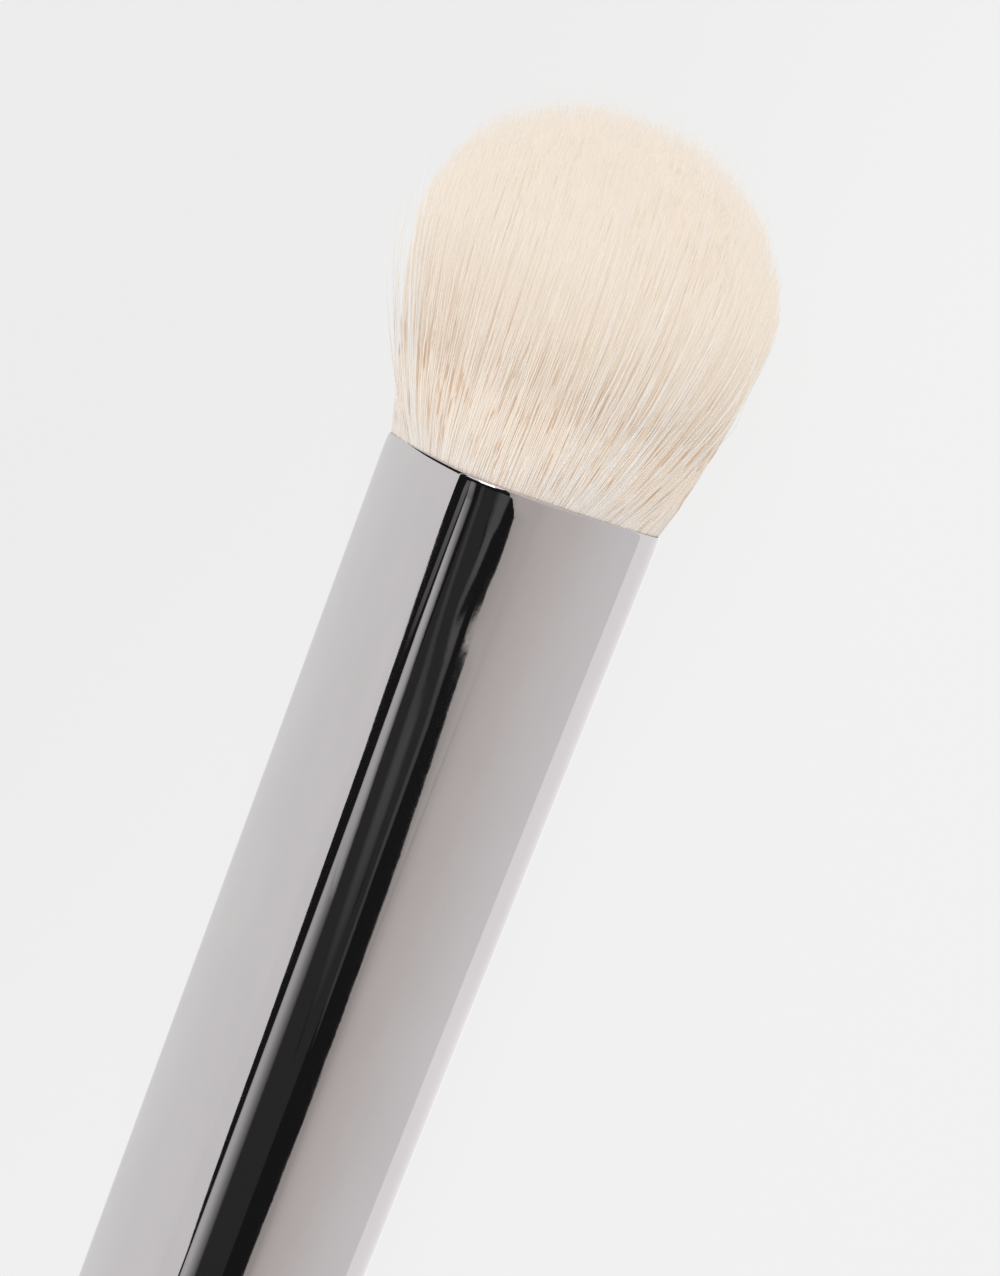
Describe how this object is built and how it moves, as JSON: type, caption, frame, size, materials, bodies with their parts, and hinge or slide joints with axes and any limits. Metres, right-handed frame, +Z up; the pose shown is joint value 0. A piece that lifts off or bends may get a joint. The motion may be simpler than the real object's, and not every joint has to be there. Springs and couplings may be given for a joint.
{
  "type": "concealer brush",
  "caption": "Concealer brush with a tapered polished metal handle of soft triangular section and a dense domed tuft of fine cream fibres.",
  "frame": {"origin": "under the middle of the brush, on the surface that it lies on", "axes": "+X along the brush from the end cap to the tips of the bristles, +Z up, away from the flat underside of the handle"},
  "size_m": [0.14, 0.0151, 0.012],
  "materials": {
    "handle_metal": "polished gunmetal plating",
    "core_plastic": "moulded, matt",
    "slug_steel": "turned",
    "pad_rubber": "soft, matt",
    "cup_aluminium": "plain drawn",
    "root_resin": "cured resin",
    "bristle_fibre": "fine soft fibre"
  },
  "bodies": {
    "root": {"handle_shell": "handle_metal", "end_cap": "handle_metal", "handle_core": "core_plastic", "balance_slug": "slug_steel", "slug_pad": "pad_rubber", "tuft_cup": "cup_aluminium", "root_plug": "root_resin", "bristle_tuft": "bristle_fibre"}
  },
  "joints": []
}
